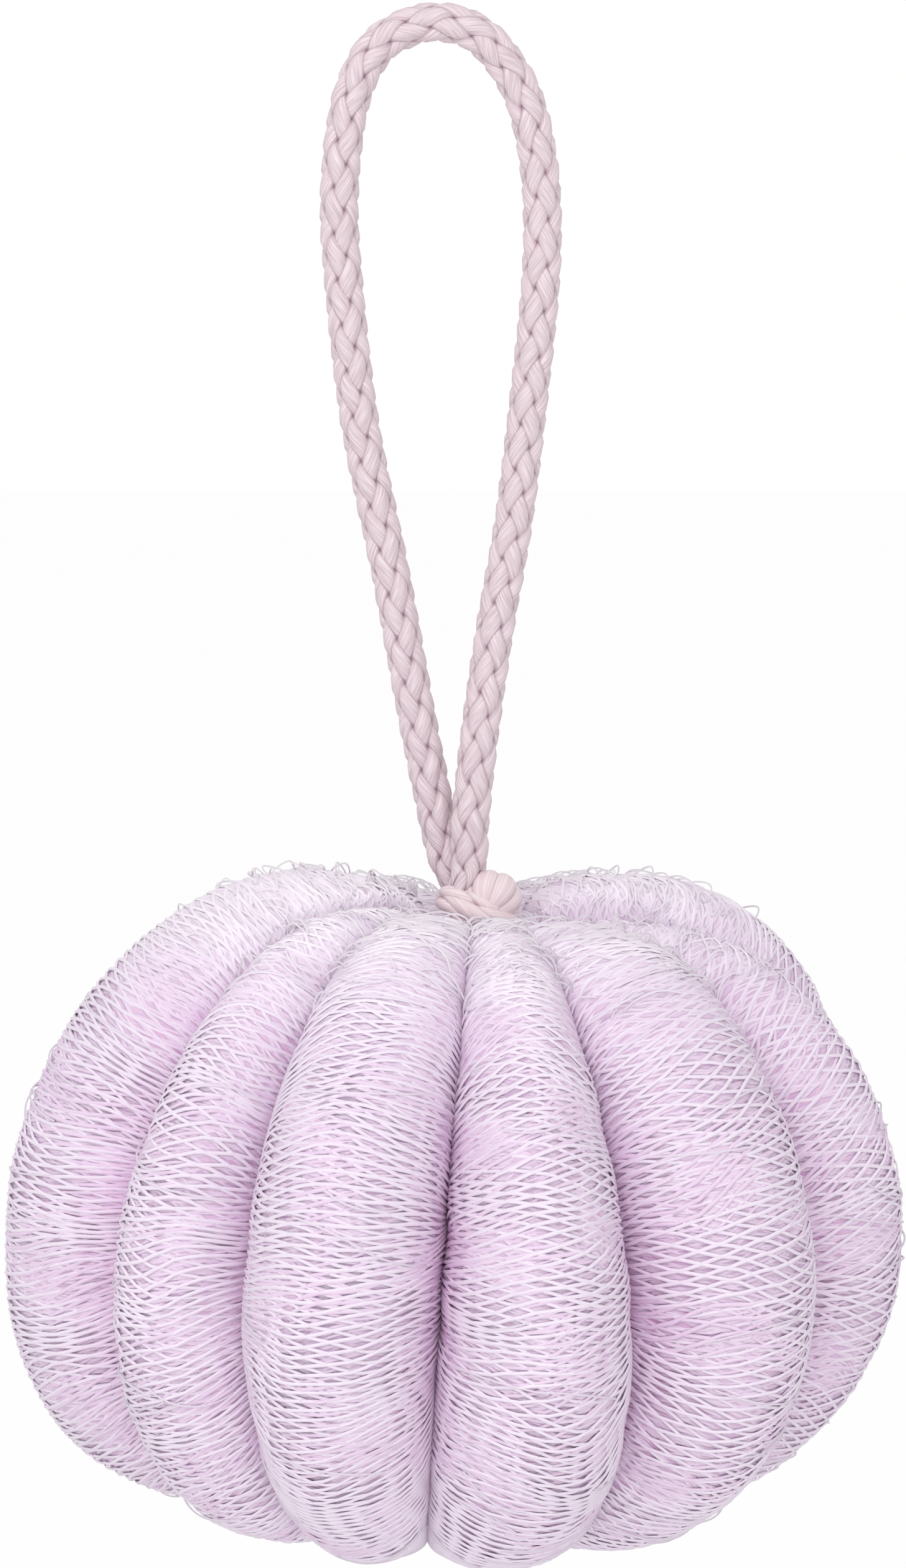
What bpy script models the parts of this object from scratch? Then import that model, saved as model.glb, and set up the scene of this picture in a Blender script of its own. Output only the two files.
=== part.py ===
"""Bath sponge of rolled net, with a braided loop to hang it by.

Metres, +Z up, the front of the sponge faces -Y. The origin is the point where
a hook touches the loop, on the underside of its crown, and the sponge hangs
below it. Each net roll is a ring of rolled-up net tube, squeezed to a D shape
and threaded on one cord that is drawn tight and knotted on top.
"""

import math

import bmesh
import bpy
from mathutils import Matrix, Vector

MM = 0.001

# Knot, on the lower end of the loop
KNOT_CENTRE = Vector((5.6, -2.2, -113.3)) * MM
KNOT_SIZE = Vector((11.2, 9.4, 9.2)) * MM
KNOT_GAP = 0.3 * MM
KNOT_SINK = 4.6 * MM  # the knot's underside lies this far below the rolls' crests

# Lumps of the knot, as shares of its half size: middle and half axes of each.
# Every one holds the knot's centre.
KNOT_LUMPS = (
    ((-0.05, 0.0, -0.42), (0.98, 0.92, 0.58)),
    ((-0.36, -0.15, 0.30), (0.52, 0.70, 0.62)),
    ((0.06, -0.22, 0.36), (0.42, 0.74, 0.66)),
    ((0.42, -0.10, 0.20), (0.56, 0.70, 0.62)),
)
KNOT_SIDES = 26
KNOT_ROWS = 14

# The sponge as a whole, hung under the knot
SPONGE_RADIUS = 60 * MM  # axis to the outer face of a roll
CREST_HEIGHT = 43 * MM  # middle of the sponge up to the crest of a roll
BELLY_DEPTH = 41 * MM  # and down to its belly
SPONGE_LEAN_DEG = 4.0  # top of the sponge leans towards +X
KNOT_OFFSET = Vector((3.1, -2.2, 0)) * MM  # knot off the middle of the sponge
SPONGE_CENTRE = KNOT_CENTRE - KNOT_OFFSET
SPONGE_CENTRE.z += KNOT_SINK - KNOT_SIZE.z / 2 - CREST_HEIGHT

# Net rolls, counted from the left over the front and the right to the back.
# A groove's azimuth is measured from the front, -Y, towards +X.
GROOVE_AZIMUTHS_DEG = (-103, -60, -34, -2, 28, 64, 97, 129, 161, 194, 226)
GROOVE_LEANS_DEG = (0, 5, 0, 0, -8, 0, 0, 4, -3, 3, -2)  # turn of a groove at its top
# No two rolls are alike: what each adds to the sponge's radius, crest and belly, in mm
RADIUS_EXTRAS_MM = (0.5, -3, 0, 0, 0, 0.5, 0.5, -1, 0, -1, 0)
CREST_EXTRAS_MM = (3, 0, 0, 0, 0, -1, 3.5, 1.5, -2, -1, 1)
BELLY_EXTRAS_MM = (0, 1, 0.5, 0.5, -1, -2.5, -1, 0, 0.5, 0, -0.5)
SHOULDER_FULLNESS = (1.8, 1.8, 1.8, 1.8, 1.8, 2.0, 2.1, 2.0, 1.8, 1.8, 1.9)
BELLY_FULLNESS = (2.5, 2.0, 1.9, 1.9, 2.0, 1.9, 1.9, 1.9, 1.9, 1.9, 2.1)
CREST_RADIUS = 24 * MM  # axis to the highest point of a roll
CORE_RADIUS = 3.5 * MM  # free bore that the rolls leave along the axis
ROLL_GAP = 0.3 * MM  # between two neighbouring rolls
BULGE_DEPTH = 17 * MM  # depth of the rounded outer face of a roll
BULGE_FULLEST = 45 * MM  # radius at which a roll is as wide as its wedge
BULGE_PRESS = 1.04  # how much wider than its wedge a roll would like to be
BULGE_SHARPNESS = 9  # how sharply a roll turns from its own bulge to its neighbour's flank
BULGE_MOST = 0.5  # largest share of a roll's depth that its bulge takes
INNER_ROUNDING = 2.5 * MM  # rounding of a roll around the cord
ROUNDING_MOST = 0.3  # largest share of a roll's depth that this rounding takes
ROUNDED_EDGE = (0.3, 0.7)  # point on the rounding: share of it inwards, share of the width
INNER_FULLNESS = 4.0  # superellipse power of the half of a roll that faces the axis
WEAVE_RELIEF = 0.9 * MM  # height of the net's ridges over the diamonds between them
OUTER_STATIONS = 25  # sections along the half of a roll that faces out
INNER_STATIONS = 7  # and along the half that faces the axis
FACE_STEPS = 4  # steps over the rounded outer face, each side
FLAT_STEPS = 2  # steps over the flat flank, each side

# Cord: a ring through every roll, its tail up to the knot, the loop above
CORD_DIAMETER = 5.4 * MM
TIE_DIAMETER = 4.6 * MM  # the same cord where it is drawn tight
TIE_RADIUS = 16 * MM  # axis to the middle of the tied ring
TIE_CLEARANCE = 0.4 * MM
TAIL_CLEARANCE = 1.2 * MM  # the two rolls beside the tail leave it this room
TAIL_DIAMETER = 4.5 * MM
TAIL_GROOVE = 4  # the tail rises in the groove before this roll, counted from 0
TAIL_CORE_RADIUS = 10 * MM  # the two rolls beside it stay this far from the axis above the ring
TAIL_RISE = ((1.0, 0.0), (0.98, 0.3), (0.78, 0.65))  # shares of the radius and the height
TIE_SIDES = 10
TIE_STEPS = 40

# Route of the loop's centre line, from the left leg's foot over the hook to the right one's
LOOP_ROUTE_MM = (
    (1.4, 1.3, -108.3),
    (0.3, 1.6, -103.0),
    (-2.4, 1.2, -89.5),
    (-6.0, 0.3, -69.5),
    (-10.0, 0.0, -49.7),
    (-12.2, 0.0, -30.1),
    (-12.6, 0.0, -19.0),
    (-11.2, 0.0, -7.8),
    (-8.0, 0.0, -0.9),
    (-3.8, 0.0, 1.9),
    (-0.1, 0.0, 2.7),
    (4.4, 0.0, 1.8),
    (8.4, 0.0, -1.6),
    (11.9, 0.0, -8.0),
    (13.8, 0.0, -18.0),
    (13.9, 0.0, -30.1),
    (12.3, 0.0, -46.5),
    (10.3, 0.0, -62.9),
    (8.0, -0.6, -76.1),
    (5.9, -1.3, -90.5),
    (4.6, -1.8, -102.5),
    (4.4, -1.9, -108.3),
)
LOOP_POINT_SPACING = CORD_DIAMETER
LOOP_BEVEL_RESOLUTION = 3
CURVE_STEPS = 24  # steps between two points of a route while it is smoothed

NET_COLOUR = (0.78, 0.66, 0.80, 1.0)
NET_ROUGHNESS = 0.55
CORD_COLOUR = (0.76, 0.64, 0.70, 1.0)
CORD_ROUGHNESS = 0.6


def clear_scene():
    """Remove whatever the scene holds before the part is built."""
    for thing in list(bpy.data.objects):
        bpy.data.objects.remove(thing)


def make_material(name, colour, roughness):
    """A plain Principled material."""
    material = bpy.data.materials.new(name)
    material.use_nodes = True
    shader = material.node_tree.nodes["Principled BSDF"]
    shader.inputs["Base Color"].default_value = colour
    shader.inputs["Roughness"].default_value = roughness
    shader.inputs["Metallic"].default_value = 0.0
    return material


def add_object(name, mesh, material, parent=None):
    """Link a mesh as a smooth shaded object of its own."""
    thing = bpy.data.objects.new(name, mesh)
    bpy.context.scene.collection.objects.link(thing)
    thing.data.materials.append(material)
    mesh.shade_smooth()
    thing.parent = parent
    return thing


def mesh_from(name, points, faces):
    """A mesh with its faces turned outwards."""
    shape = bmesh.new()
    corners = [shape.verts.new(point) for point in points]
    for face in faces:
        shape.faces.new([corners[index] for index in face])
    bmesh.ops.recalc_face_normals(shape, faces=shape.faces)
    mesh = bpy.data.meshes.new(name)
    shape.to_mesh(mesh)
    shape.free()
    return mesh


def soft_minimum(first, second):
    """Smoothly rounded minimum of two lengths, never above either."""
    power = BULGE_SHARPNESS
    smaller = min(first, second)
    larger = max(first, second)
    if smaller <= 0:
        return 0.0
    return smaller * (1 + (smaller / larger) ** power) ** (-1 / power)


def superellipse(angle, half_width, half_height, power):
    """Point of a superellipse at a parameter angle."""
    across = abs(math.cos(angle)) ** (2 / power) * half_width
    up = abs(math.sin(angle)) ** (2 / power) * half_height
    return math.copysign(across, math.cos(angle)), math.copysign(up, math.sin(angle))


def groove_azimuth(index, height):
    """Azimuth of the groove before a roll at a height over the sponge's middle."""
    rounds, place = divmod(index, len(GROOVE_AZIMUTHS_DEG))
    turn = GROOVE_LEANS_DEG[place] * height / CREST_HEIGHT
    return math.radians(GROOVE_AZIMUTHS_DEG[place] + turn + 360 * rounds)


class Roll:
    """One net roll, in the frame of its own radial plane."""

    def __init__(self, index):
        self.index = index
        self.reach = SPONGE_RADIUS + RADIUS_EXTRAS_MM[index] * MM
        self.rise = CREST_HEIGHT + CREST_EXTRAS_MM[index] * MM
        self.drop = BELLY_DEPTH + BELLY_EXTRAS_MM[index] * MM
        self.tail_side = 0
        if index == TAIL_GROOVE - 1:
            self.tail_side = 1
        if index == TAIL_GROOVE:
            self.tail_side = -1

    def outline(self, angle):
        """Outer boundary in the radial plane: distance from the axis and height."""
        upper = 0 < angle < math.pi
        if math.cos(angle) >= 0:
            half_width = self.reach - CREST_RADIUS
            power = SHOULDER_FULLNESS[self.index] if upper else BELLY_FULLNESS[self.index]
        else:
            core = TAIL_CORE_RADIUS if upper and self.tail_side else CORE_RADIUS
            half_width, power = CREST_RADIUS - core, INNER_FULLNESS
        half_height = self.rise if upper else self.drop
        across, up = superellipse(angle, half_width, half_height, power)
        return Vector((CREST_RADIUS + across, up))

    def tail_room(self, radius, height):
        """Width that the roll leaves free for the cord's tail, gone at its outer face."""
        if not self.tail_side or height < -TIE_DIAMETER:
            return 0.0
        fade = (BULGE_FULLEST - radius) / (BULGE_FULLEST - TIE_RADIUS - TIE_DIAMETER)
        return (TIE_DIAMETER / 2 + TAIL_CLEARANCE) * min(max(fade, 0.0), 1.0)

    def point(self, radius, height, side, profile):
        """Point in the sponge's frame, off the roll's middle by a share of its full bulge."""
        before = groove_azimuth(self.index, height)
        after = groove_azimuth(self.index + 1, height)
        half_angle = (after - before) / 2
        room = self.tail_room(radius, height)
        wedge = radius * half_angle - ROLL_GAP / 2 - room / 2
        bulge = BULGE_FULLEST * half_angle * BULGE_PRESS * profile
        across = side * soft_minimum(bulge, wedge) - self.tail_side * room / 2
        angle = (before + after) / 2 + across / radius
        return Vector((math.sin(angle) * radius, -math.cos(angle) * radius, height))

    def section(self, angle):
        """Loop of points round the roll at one station."""
        hole_radius = TIE_DIAMETER / 2 + TIE_CLEARANCE
        outer = self.outline(angle)
        inner = Vector((TIE_RADIUS, 0)) + Vector((math.cos(angle), math.sin(angle))) * hole_radius
        depth = (inner - outer).length
        inward = (inner - outer) / depth
        bulge = min(BULGE_DEPTH, depth * BULGE_MOST)
        rounding = min(INNER_ROUNDING, depth * ROUNDING_MOST)
        steps = []
        for step in range(1, FACE_STEPS + 1):
            turn = step / FACE_STEPS * math.pi / 2
            steps.append((bulge * (1 - math.cos(turn)), math.sin(turn)))
        for step in range(1, FLAT_STEPS + 1):
            steps.append((bulge + (depth - rounding - bulge) * step / FLAT_STEPS, 1.0))
        share_inwards, share_across = ROUNDED_EDGE
        steps.append((depth - rounding * share_inwards, share_across))
        loop = [self.point(outer.x, outer.y, 0, 0)]
        for along, profile in steps:
            spot = outer + inward * along
            loop.append(self.point(spot.x, spot.y, 1, profile))
        loop.append(self.point(inner.x, inner.y, 0, 0))
        for along, profile in reversed(steps):
            spot = outer + inward * along
            loop.append(self.point(spot.x, spot.y, -1, profile))
        return loop


def tube_faces(rings, sides):
    """Quads that join closed rings of points, the last ring to the first."""
    faces = []
    for ring in range(rings):
        following = (ring + 1) % rings
        for side in range(sides):
            beside = (side + 1) % sides
            faces.append(
                (
                    ring * sides + side,
                    ring * sides + beside,
                    following * sides + beside,
                    following * sides + side,
                )
            )
    return faces


def lattice_faces(rings, sides):
    """Triangles of a closed tube whose split lines join every other point, as the ridges of a net do."""
    faces = []
    for quad in tube_faces(rings, sides):
        ring, side = divmod(quad[0], sides)
        if (ring + side) % 2:
            quad = quad[1:] + quad[:1]
        faces += [quad[:3], (quad[2], quad[3], quad[0])]
    return faces


def build_roll(index, material, parent):
    """One net roll as a closed ring around the tie cord."""
    roll = Roll(index)
    angles = [(step / OUTER_STATIONS - 0.5) * math.pi for step in range(OUTER_STATIONS)]
    angles += [(step / INNER_STATIONS + 0.5) * math.pi for step in range(INNER_STATIONS)]
    points = []
    for angle in angles:
        points += roll.section(angle)
    sides = len(points) // len(angles)
    name = f"net_roll_{index + 1:02d}"
    mesh = mesh_from(name, points, lattice_faces(len(angles), sides))
    press_weave(mesh, sides)
    return add_object(name, mesh, material, parent)


def press_weave(mesh, sides):
    """Press every other point of the outer face in, which leaves the net's ridges between diamonds."""
    normals = [vertex.normal.copy() for vertex in mesh.vertices]
    for vertex in mesh.vertices:
        station, side = divmod(vertex.index, sides)
        on_outer_face = side <= FACE_STEPS - 1 or side >= sides - FACE_STEPS + 1
        if on_outer_face and (station + side) % 2:
            vertex.co -= normals[vertex.index] * WEAVE_RELIEF


def swept_tube(path, radius, sides, closed):
    """Points and faces of a round tube along a path of points in one frame."""
    count = len(path)
    points = []
    normal = None
    for index, centre in enumerate(path):
        if closed:
            ahead, behind = path[(index + 1) % count], path[index - 1]
        else:
            ahead, behind = path[min(index + 1, count - 1)], path[max(index - 1, 0)]
        tangent = (ahead - behind).normalized()
        if normal is None:
            normal = tangent.orthogonal().normalized()
        normal = (normal - tangent * normal.dot(tangent)).normalized()
        binormal = tangent.cross(normal)
        for side in range(sides):
            angle = side / sides * 2 * math.pi
            points.append(centre + (normal * math.cos(angle) + binormal * math.sin(angle)) * radius)
    faces = tube_faces(count, sides)
    if not closed:
        faces = faces[: (count - 1) * sides]
        faces.append(tuple(range(sides)))
        faces.append(tuple(range((count - 1) * sides, count * sides)))
    return points, faces


def smooth_route(route, spacing):
    """Evenly spaced points of the Catmull-Rom curve through a route's points."""
    padded = [route[0] * 2 - route[1], *route, route[-1] * 2 - route[-2]]
    fine = []
    for index in range(1, len(padded) - 2):
        before, start, end, after = padded[index - 1 : index + 3]
        for step in range(CURVE_STEPS):
            t = step / CURVE_STEPS
            fine.append(
                0.5
                * (
                    2 * start
                    + (end - before) * t
                    + (2 * before - 5 * start + 4 * end - after) * t * t
                    + (3 * start - before - 3 * end + after) * t * t * t
                )
            )
    fine.append(route[-1])
    total = sum((b - a).length for a, b in zip(fine, fine[1:]))
    count = round(total / spacing)
    points = [fine[0]]
    travelled = 0.0
    for start, end in zip(fine, fine[1:]):
        stretch = (end - start).length
        while len(points) < count and travelled + stretch >= total * len(points) / count:
            share = (total * len(points) / count - travelled) / stretch
            points.append(start.lerp(end, share))
        travelled += stretch
    points.append(fine[-1])
    return points


def build_tie(material, parent, sponge_to_world):
    """The tied ring through every roll, with its tail up to the knot, as one solid."""
    ring_path = []
    for step in range(TIE_STEPS):
        angle = step / TIE_STEPS * 2 * math.pi
        ring_path.append(Vector((math.sin(angle), -math.cos(angle), 0)) * TIE_RADIUS)
    ring = mesh_from("centre_tie", *swept_tube(ring_path, TIE_DIAMETER / 2, TIE_SIDES, True))
    tie = add_object("centre_tie", ring, material, parent)

    knot_foot = KNOT_CENTRE - Vector((0, 0, KNOT_SIZE.z / 2 + KNOT_GAP))
    top = sponge_to_world.inverted() @ knot_foot
    below_top = sponge_to_world.inverted() @ (knot_foot - Vector((0, 0, TIE_DIAMETER)))
    route = []
    for radius_share, height_share in TAIL_RISE:
        height = top.z * height_share
        azimuth = groove_azimuth(TAIL_GROOVE, height)
        outward = Vector((math.sin(azimuth), -math.cos(azimuth), 0))
        route.append(outward * TIE_RADIUS * radius_share + Vector((0, 0, height)))
    route += [below_top, top]
    tail_path = smooth_route(route, TIE_DIAMETER)
    tail_mesh = mesh_from("tie_tail", *swept_tube(tail_path, TAIL_DIAMETER / 2, TIE_SIDES, False))
    tail = add_object("tie_tail", tail_mesh, material, parent)
    tail.hide_render = True
    tail.display_type = "WIRE"
    union = tie.modifiers.new("tail", "BOOLEAN")
    union.operation = "UNION"
    union.solver = "EXACT"
    union.object = tail
    return tie


def build_knot(material):
    """The knot: wraps of cord drawn into one lump, seen as a wrap below three bulges."""
    half = KNOT_SIZE / 2

    def surface(direction):
        farthest = 0.0
        for middle, axes in KNOT_LUMPS:
            centre = Vector([m * h for m, h in zip(middle, half)])
            scaled = [axis * h for axis, h in zip(axes, half)]
            d = Vector([direction[i] / scaled[i] for i in range(3)])
            c = Vector([centre[i] / scaled[i] for i in range(3)])
            along = d.dot(c)
            root = along * along - d.dot(d) * (c.dot(c) - 1)
            farthest = max(farthest, (along + math.sqrt(max(root, 0.0))) / d.dot(d))
        return direction * farthest

    around, up = KNOT_SIDES, KNOT_ROWS
    points = [surface(Vector((0, 0, -1)))]
    for row in range(1, up):
        polar = math.pi * row / up
        for step in range(around):
            angle = step / around * 2 * math.pi
            direction = Vector(
                (math.sin(polar) * math.cos(angle), math.sin(polar) * math.sin(angle), -math.cos(polar))
            )
            points.append(surface(direction))
    points.append(surface(Vector((0, 0, 1))))
    faces = []
    for step in range(around):
        beside = (step + 1) % around
        faces.append((0, 1 + beside, 1 + step))
        top_row = 1 + (up - 2) * around
        faces.append((len(points) - 1, top_row + step, top_row + beside))
        for row in range(up - 2):
            low = 1 + row * around
            high = low + around
            faces.append((low + step, low + beside, high + beside, high + step))
    mesh = mesh_from("knot", points, faces)
    knot = add_object("knot", mesh, material)
    knot.location = KNOT_CENTRE
    return knot


def build_loop(material):
    """The hanging loop: a round cord along one smooth route."""
    route = [Vector(point) * MM for point in LOOP_ROUTE_MM]
    points = smooth_route(route, LOOP_POINT_SPACING)
    curve = bpy.data.curves.new("hanging_loop", "CURVE")
    curve.dimensions = "3D"
    curve.bevel_depth = CORD_DIAMETER / 2
    curve.bevel_resolution = LOOP_BEVEL_RESOLUTION
    curve.use_fill_caps = True
    spline = curve.splines.new("POLY")
    spline.points.add(len(points) - 1)
    for spot, point in zip(spline.points, points):
        spot.co = (*point, 1.0)
    spline.use_smooth = True
    loop = bpy.data.objects.new("hanging_loop", curve)
    bpy.context.scene.collection.objects.link(loop)
    curve.materials.append(material)
    return loop


def build_sponge():
    """Every piece of the sponge."""
    clear_scene()
    net = make_material("net", NET_COLOUR, NET_ROUGHNESS)
    cord = make_material("cord", CORD_COLOUR, CORD_ROUGHNESS)
    sponge = bpy.data.objects.new("sponge_frame", None)
    bpy.context.scene.collection.objects.link(sponge)
    sponge.location = SPONGE_CENTRE
    sponge.rotation_euler = (0, math.radians(SPONGE_LEAN_DEG), 0)
    placed = Matrix.Translation(SPONGE_CENTRE) @ Matrix.Rotation(math.radians(SPONGE_LEAN_DEG), 4, "Y")
    for index in range(len(GROOVE_AZIMUTHS_DEG)):
        build_roll(index, net, sponge)
    build_tie(cord, sponge, placed)
    build_knot(cord)
    build_loop(cord)


build_sponge()
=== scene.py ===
"""Looks of the bath sponge: plies of real net strands on every roll, and a braided cord.

Lengths are in millimetres until a mesh is made, which is in metres in the row frame.
The rolls follow the same rule as their solids, so the net lies where the solids are.
"""

import math

import bpy
import numpy as np
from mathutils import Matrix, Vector


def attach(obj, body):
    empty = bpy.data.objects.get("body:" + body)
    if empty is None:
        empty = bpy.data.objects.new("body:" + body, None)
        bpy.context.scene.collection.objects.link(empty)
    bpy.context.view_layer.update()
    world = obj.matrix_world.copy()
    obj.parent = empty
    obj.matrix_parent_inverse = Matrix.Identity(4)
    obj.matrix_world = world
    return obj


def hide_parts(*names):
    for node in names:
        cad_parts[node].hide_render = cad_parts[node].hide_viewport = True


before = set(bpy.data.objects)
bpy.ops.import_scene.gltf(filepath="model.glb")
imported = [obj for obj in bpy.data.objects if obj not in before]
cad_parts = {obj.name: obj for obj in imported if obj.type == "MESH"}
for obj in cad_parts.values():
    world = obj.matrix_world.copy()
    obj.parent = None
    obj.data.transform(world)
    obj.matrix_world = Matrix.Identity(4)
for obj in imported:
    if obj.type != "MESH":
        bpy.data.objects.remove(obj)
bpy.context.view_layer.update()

MM = 0.001

# Camera, at the photograph's viewing angle
CAMERA_AIM = Vector((2.3, 0.0, -97.8)) * MM
CAMERA_DISTANCE = 650 * MM
CAMERA_ELEVATION_DEG = 7.0
CAMERA_LENS_MM = 111.85
SENSOR_HEIGHT_MM = 36.0

# Cord and knot, as in the solids
CORD_DIAMETER = 5.4
LOOP_ROUTE = (
    (1.4, 1.3, -108.3),
    (0.3, 1.6, -103.0),
    (-2.4, 1.2, -89.5),
    (-6.0, 0.3, -69.5),
    (-10.0, 0.0, -49.7),
    (-12.2, 0.0, -30.1),
    (-12.6, 0.0, -19.0),
    (-11.2, 0.0, -7.8),
    (-8.0, 0.0, -0.9),
    (-3.8, 0.0, 1.9),
    (-0.1, 0.0, 2.7),
    (4.4, 0.0, 1.8),
    (8.4, 0.0, -1.6),
    (11.9, 0.0, -8.0),
    (13.8, 0.0, -18.0),
    (13.9, 0.0, -30.1),
    (12.3, 0.0, -46.5),
    (10.3, 0.0, -62.9),
    (8.0, -0.6, -76.1),
    (5.9, -1.3, -90.5),
    (4.6, -1.8, -102.5),
    (4.4, -1.9, -108.3),
)
LEFT_TAIL = ((2.9, 0.0, -113.0), (2.3, 0.6, -111.0))  # the legs run on past their solids into the knot
RIGHT_TAIL = ((3.5, -3.3, -111.2), (2.8, -3.9, -113.2))
TAPER_LENGTH = 8.0  # a stretch of cord thins out this far before its ends
TAPER = 0.45
TAPER_POWER = 1.5
ROUTE_STEP = 0.5
ROUTE_STEPS_EACH = 24  # between two points of a route, before they are spaced evenly
KNOT_CENTRE = np.array((5.6, -2.2, -113.3))
KNOT_SIZE = np.array((11.2, 9.4, 9.2))
KNOT_SINK = 4.6
KNOT_OFFSET = np.array((3.1, -2.2, 0.0))

# The knot, from its centre: a wrap of cord, and over it a lump whose strands fan out from a pinch
WRAP_ROUTE = (
    (-3.3, 2.4, -0.5),
    (-4.0, 0.4, 0.2),
    (-3.0, -1.9, 0.2),
    (-1.1, -3.1, -0.7),
    (1.0, -3.3, -1.7),
    (2.7, -2.3, -2.6),
    (3.2, 0.0, -2.8),
    (2.2, 2.1, -2.0),
    (-0.2, 2.9, -1.0),
)
WRAP_DIAMETER = 5.0
WRAP_PITCH = 32.0
LUMP_CENTRE = np.array((1.7, -0.6, 0.5))
LUMP_HALF_AXES = np.array((4.2, 3.5, 3.8))
LUMP_PINCH = (-0.2, -0.86, -0.47)  # the way from its centre to the pinch
LUMP_STRANDS = 7
LUMP_TURN_DEG = 8.0
LUMP_GROOVE = 0.13  # depth of the creases between its strands, as a share of its size
LUMP_CREASE_SHADE = 0.78  # painted shade: how dark those creases are painted, as the place across a strand of braid that they match
LUMP_CREASE_SHADE_ENDS = (0.25, 0.15)  # painted shade: the same as the place along it, at the pinch and at the far side
LUMP_SPAN = (0.03, 0.97)  # of the way from the pinch to the far side
LUMP_STEPS = 28
LUMP_SIDES_EACH = 8

# Braid of the cord: four flat strands wind each way round it, over one and under one
STRANDS_EACH_WAY = 4
BRAID_PITCH = 24.0
BRAID_TURN_DEG = 22.5  # brings two columns of strands side by side to the front
BRAID_COVER = 1.12  # width of a strand, as a share of the room between two of its own way
BRAID_HALF_THICKNESS = 0.7
BRAID_PEAK = 2.9  # 1 makes a strand's section an ellipse, and more narrows its top over thin edges
BRAID_DIVE = 0.5  # how far a strand rises and dives as it passes over and under
BRAID_SNAP = 1.3  # how suddenly it does so
BRAID_LINGER = 0.45  # how much longer it stays over than under
BRAID_SIDES = 16
BRAID_STEP = 0.6
FIBRES_APART = (40.0, 200.0)  # between strands of one way and between ways, so that each has its own fibres

# Sponge and net rolls, as in the solids
SPONGE_RADIUS = 60.0
CREST_HEIGHT = 43.0
BELLY_DEPTH = 41.0
SPONGE_LEAN_DEG = 4.0
SPONGE_CENTRE = KNOT_CENTRE - KNOT_OFFSET + np.array((0, 0, KNOT_SINK - KNOT_SIZE[2] / 2 - CREST_HEIGHT))
# Grooves, each before the roll of its own number, and how far each has leaned at the crests' height
GROOVE_AZIMUTHS_DEG = (-103, -60, -34, -2, 28, 64, 97, 129, 161, 194, 226)
GROOVE_LEANS_DEG = (0, 5, 0, 0, -8, 0, 0, 4, -3, 3, -2)
# What each roll adds to the reach, the crest height and the belly depth
RADIUS_EXTRAS = (0.5, -3, 0, 0, 0, 0.5, 0.5, -1, 0, -1, 0)
CREST_EXTRAS = (3, 0, 0, 0, 0, -1, 3.5, 1.5, -2, -1, 1)
BELLY_EXTRAS = (0, 1, 0.5, 0.5, -1, -2.5, -1, 0, 0.5, 0, -0.5)
# Powers of the rolls' outlines: 2 is round, and more is fuller
SHOULDER_FULLNESS = (1.8, 1.8, 1.8, 1.8, 1.8, 2.0, 2.1, 2.0, 1.8, 1.8, 1.9)
BELLY_FULLNESS = (2.5, 2.0, 1.9, 1.9, 2.0, 1.9, 1.9, 1.9, 1.9, 1.9, 2.1)
INNER_FULLNESS = 4.0
CREST_RADIUS = 24.0  # from the sponge's axis to the crests
CORE_RADIUS = 3.5  # and to the rolls' inner sides
ROLL_GAP = 0.3
BULGE_DEPTH = 17.0  # how far a roll's rounded flank reaches in from its outer line
BULGE_MOST = 0.5  # the same at most, as a share of the way to the tie
BULGE_FULLEST = 45.0  # from the axis to where a roll is widest
BULGE_PRESS = 1.04  # how much wider than its room it would be there
BULGE_SHARPNESS = 9  # how suddenly it meets its neighbour
TIE_RADIUS = 16.0

# Net: the cells of each roll, and the plies that lie on each other
CELL_LENGTHS = (8.5, 8.0, 9.0, 8.0, 6.8, 6.2, 8.0, 8.5, 8.0, 8.5, 8.0)
CELL_HEIGHTS = (1.5, 1.5, 1.4, 1.5, 1.75, 1.85, 1.6, 1.6, 1.6, 1.6, 1.6)
STRAND_HALF_WIDTHS = (0.31, 0.35, 0.36)  # of the outer ply first
STRAND_HALF_HEIGHT = 0.15
STRAND_SIDES = 3  # a strand has a ridge and two edges, and the side between its edges is its underside
STRAND_UNDERSIDE = 1
STRAND_ROUNDNESS = 0.55  # how much of a strand's own roundness its shading shows, over the roll's
STRAND_STACK = 0.16  # the second way of strands lies this much deeper than the first
NODE_MERGE = 0.55  # how far two strands lean together where they cross, 0 to 1
PLY_START_DEG = -135.0  # the stretch of a roll's outer line that the net covers
PLY_END_DEG = 128.0
NET_FLANK_DEG = (48.0, 92.0)  # how far strands reach round a roll, at its crest and at its fullest
FLANK_SWELL = 0.55  # how far the strands of a flank press out, to close the gap between two rolls
FLANK_SWELL_DEG = (35.0, 70.0)  # from where to where round the roll that grows
PLY_DEPTHS = (0.22, 0.44, 0.62)
PLY_SPREADS = (1.0, 1.05, 1.1)  # how much wider than the outer ply's cells those of each ply are
PLY_STEPS = (25, 19, 17)
PLY_TILTS = (0.0, 0.07, -0.08)  # how steep the rows of each ply's cells run
PLY_END_ROOM = 2.0  # no strand of a ply starts nearer than this to a roll's ends
END_ROOM = 0.5  # and none strays nearer than this
OUTLINE_STEPS = 600
NORMAL_STEP = 0.2  # a surface's normal comes from points this far to its sides

# How far strands stray along a roll, across it and inwards, with the shortest and the longest wave of that
ALONG_RIPPLE = (0.75, 9.0, 30.0)
ACROSS_RIPPLE = (1.2, 14.0, 40.0)
DEPTH_RIPPLE = (0.15, 6.0, 24.0)
RIPPLE_WAVES = 9
RIPPLE_STRETCH = 1.6  # waves are this much longer across a roll

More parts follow.
